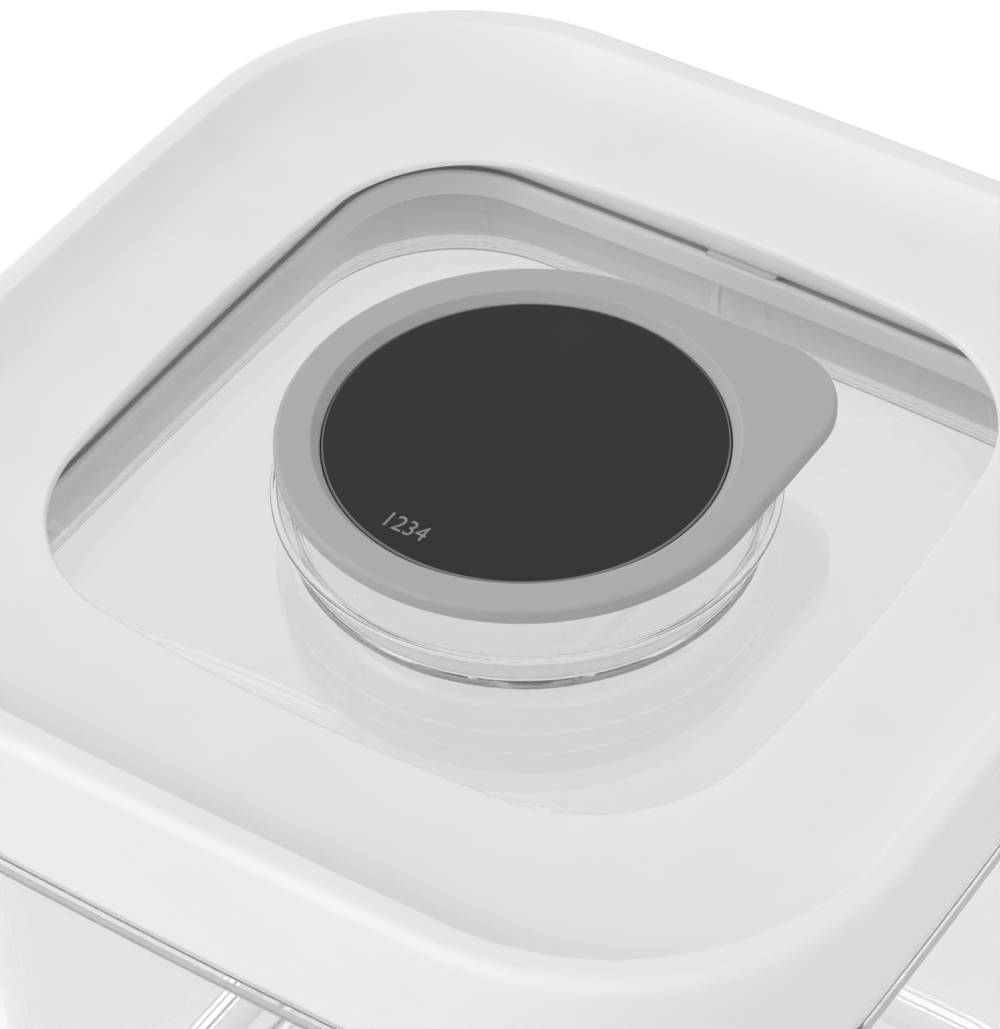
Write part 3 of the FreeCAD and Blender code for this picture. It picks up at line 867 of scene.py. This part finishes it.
def lights():
    """Surroundings that look white and light a little more from the front left, and a lamp there."""
    world = bpy.data.worlds.new("studio")
    world.use_nodes = True
    tree = world.node_tree
    tree.nodes.clear()
    where = add(tree, "TexCoord")
    lean = add(tree, "VectorMath", {1: SKY_SLOPE}, {0: (where, "Generated")}, operation="DOT_PRODUCT")
    soft = add(tree, "Math", {1: SKY_LIGHT}, {0: (lean, "Value")}, operation="ADD")
    level = add(tree, "MapRange", {"To Max": 1.0}, {"Value": (seen(tree), 0), "To Min": (soft, 0)})
    sky = add(tree, "Background", {"Color": linear("FFFFFF")}, {"Strength": (level, "Result")})
    out = add(tree, "OutputWorld")
    tree.links.new(sky.outputs[0], out.inputs["Surface"])
    bpy.context.scene.world = world
    lamp = bpy.data.lights.new("key", "AREA")
    lamp.shape = "DISK"
    lamp.size = KEY_SIZE * MM
    lamp.energy = KEY_POWER
    key = bpy.data.objects.new("key", lamp)
    bpy.context.scene.collection.objects.link(key)
    key.location = Vector(KEY_PLACE) * MM
    aim = Vector((0, 0, disc_z)) * MM - key.location
    key.rotation_euler = aim.to_track_quat("-Z", "Y").to_euler()


def camera():
    """Camera that looks down on the lid's near corner, a little rolled, with a long lens."""
    azimuth = math.radians(CAMERA_AZIMUTH)
    elevation = math.radians(CAMERA_ELEVATION)
    back = Vector((math.sin(azimuth) * math.cos(elevation), -math.cos(azimuth) * math.cos(elevation),
                   math.sin(elevation)))
    right = Vector((math.cos(azimuth), math.sin(azimuth), 0))
    roll = Matrix.Rotation(math.radians(CAMERA_ROLL), 3, back)
    right = roll @ right
    up = back.cross(right)
    place = Vector((0, 0, disc_z)) + CAMERA_RIGHT * right + CAMERA_UP * up + CAMERA_DISTANCE * back
    lens = bpy.data.cameras.new("camera")
    lens.lens = CAMERA_LENS
    lens.sensor_width = SENSOR
    lens.clip_start = MM
    made = bpy.data.objects.new("camera", lens)
    bpy.context.scene.collection.objects.link(made)
    made.matrix_world = Matrix.Translation(place * MM) @ Matrix((right, up, back)).transposed().to_4x4()
    bpy.context.scene.camera = made


# Assembly


def finish_piece(made, body, material, node=None):
    """Gives a piece its material and its body, and hides the CAD node that it stands for."""
    made.data.materials.clear()
    made.data.materials.append(material)
    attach(made, body)
    if node:
        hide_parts(node)


white = moulded_polypropylene()
clear_tub = clear_copolyester("polished_clear_tub", "EEEEEE")
clear_window = clear_copolyester("polished_clear_window", "EEEEEE")
silicone = moulded_silicone("moulded_grey_silicone", "ADADAE", "B4B4B5", 0.3)
pale = moulded_silicone("moulded_pale_silicone", "EDEDED", "F1F1F1", 2.0)
dull = moulded_silicone("moulded_dull_silicone", "D3D3D3", "D9D9D9", 1.0)
finish_piece(tub(), "container", clear_tub, "container")
finish_piece(lid_frame(), "lid", white, "lid_frame")
finish_piece(clips(), "lid", white)
finish_piece(lid_window(), "lid", clear_window, "lid_window")
finish_piece(lid_seal(), "lid", pale, "lid_seal")
finish_piece(lid_collar(), "lid", dull, "lid_collar")
finish_piece(collar_lugs(), "lid", dull)
finish_piece(valve_cap(), "valve", silicone, "valve_cap")
finish_piece(valve_disc(), "valve", black_acrylic(), "valve_disc")
finish_piece(disc_number(), "valve", printed_ink())
finish_piece(valve_flap(), "valve", silicone, "valve_flap")

stage()
lights()
camera()
bpy.context.scene.view_settings.view_transform = "Standard"
paths = bpy.context.scene.cycles
paths.blur_glossy = 0.0
paths.max_bounces = 32
paths.diffuse_bounces = 12
paths.glossy_bounces = 24
paths.transmission_bounces = 32
paths.transparent_max_bounces = 32
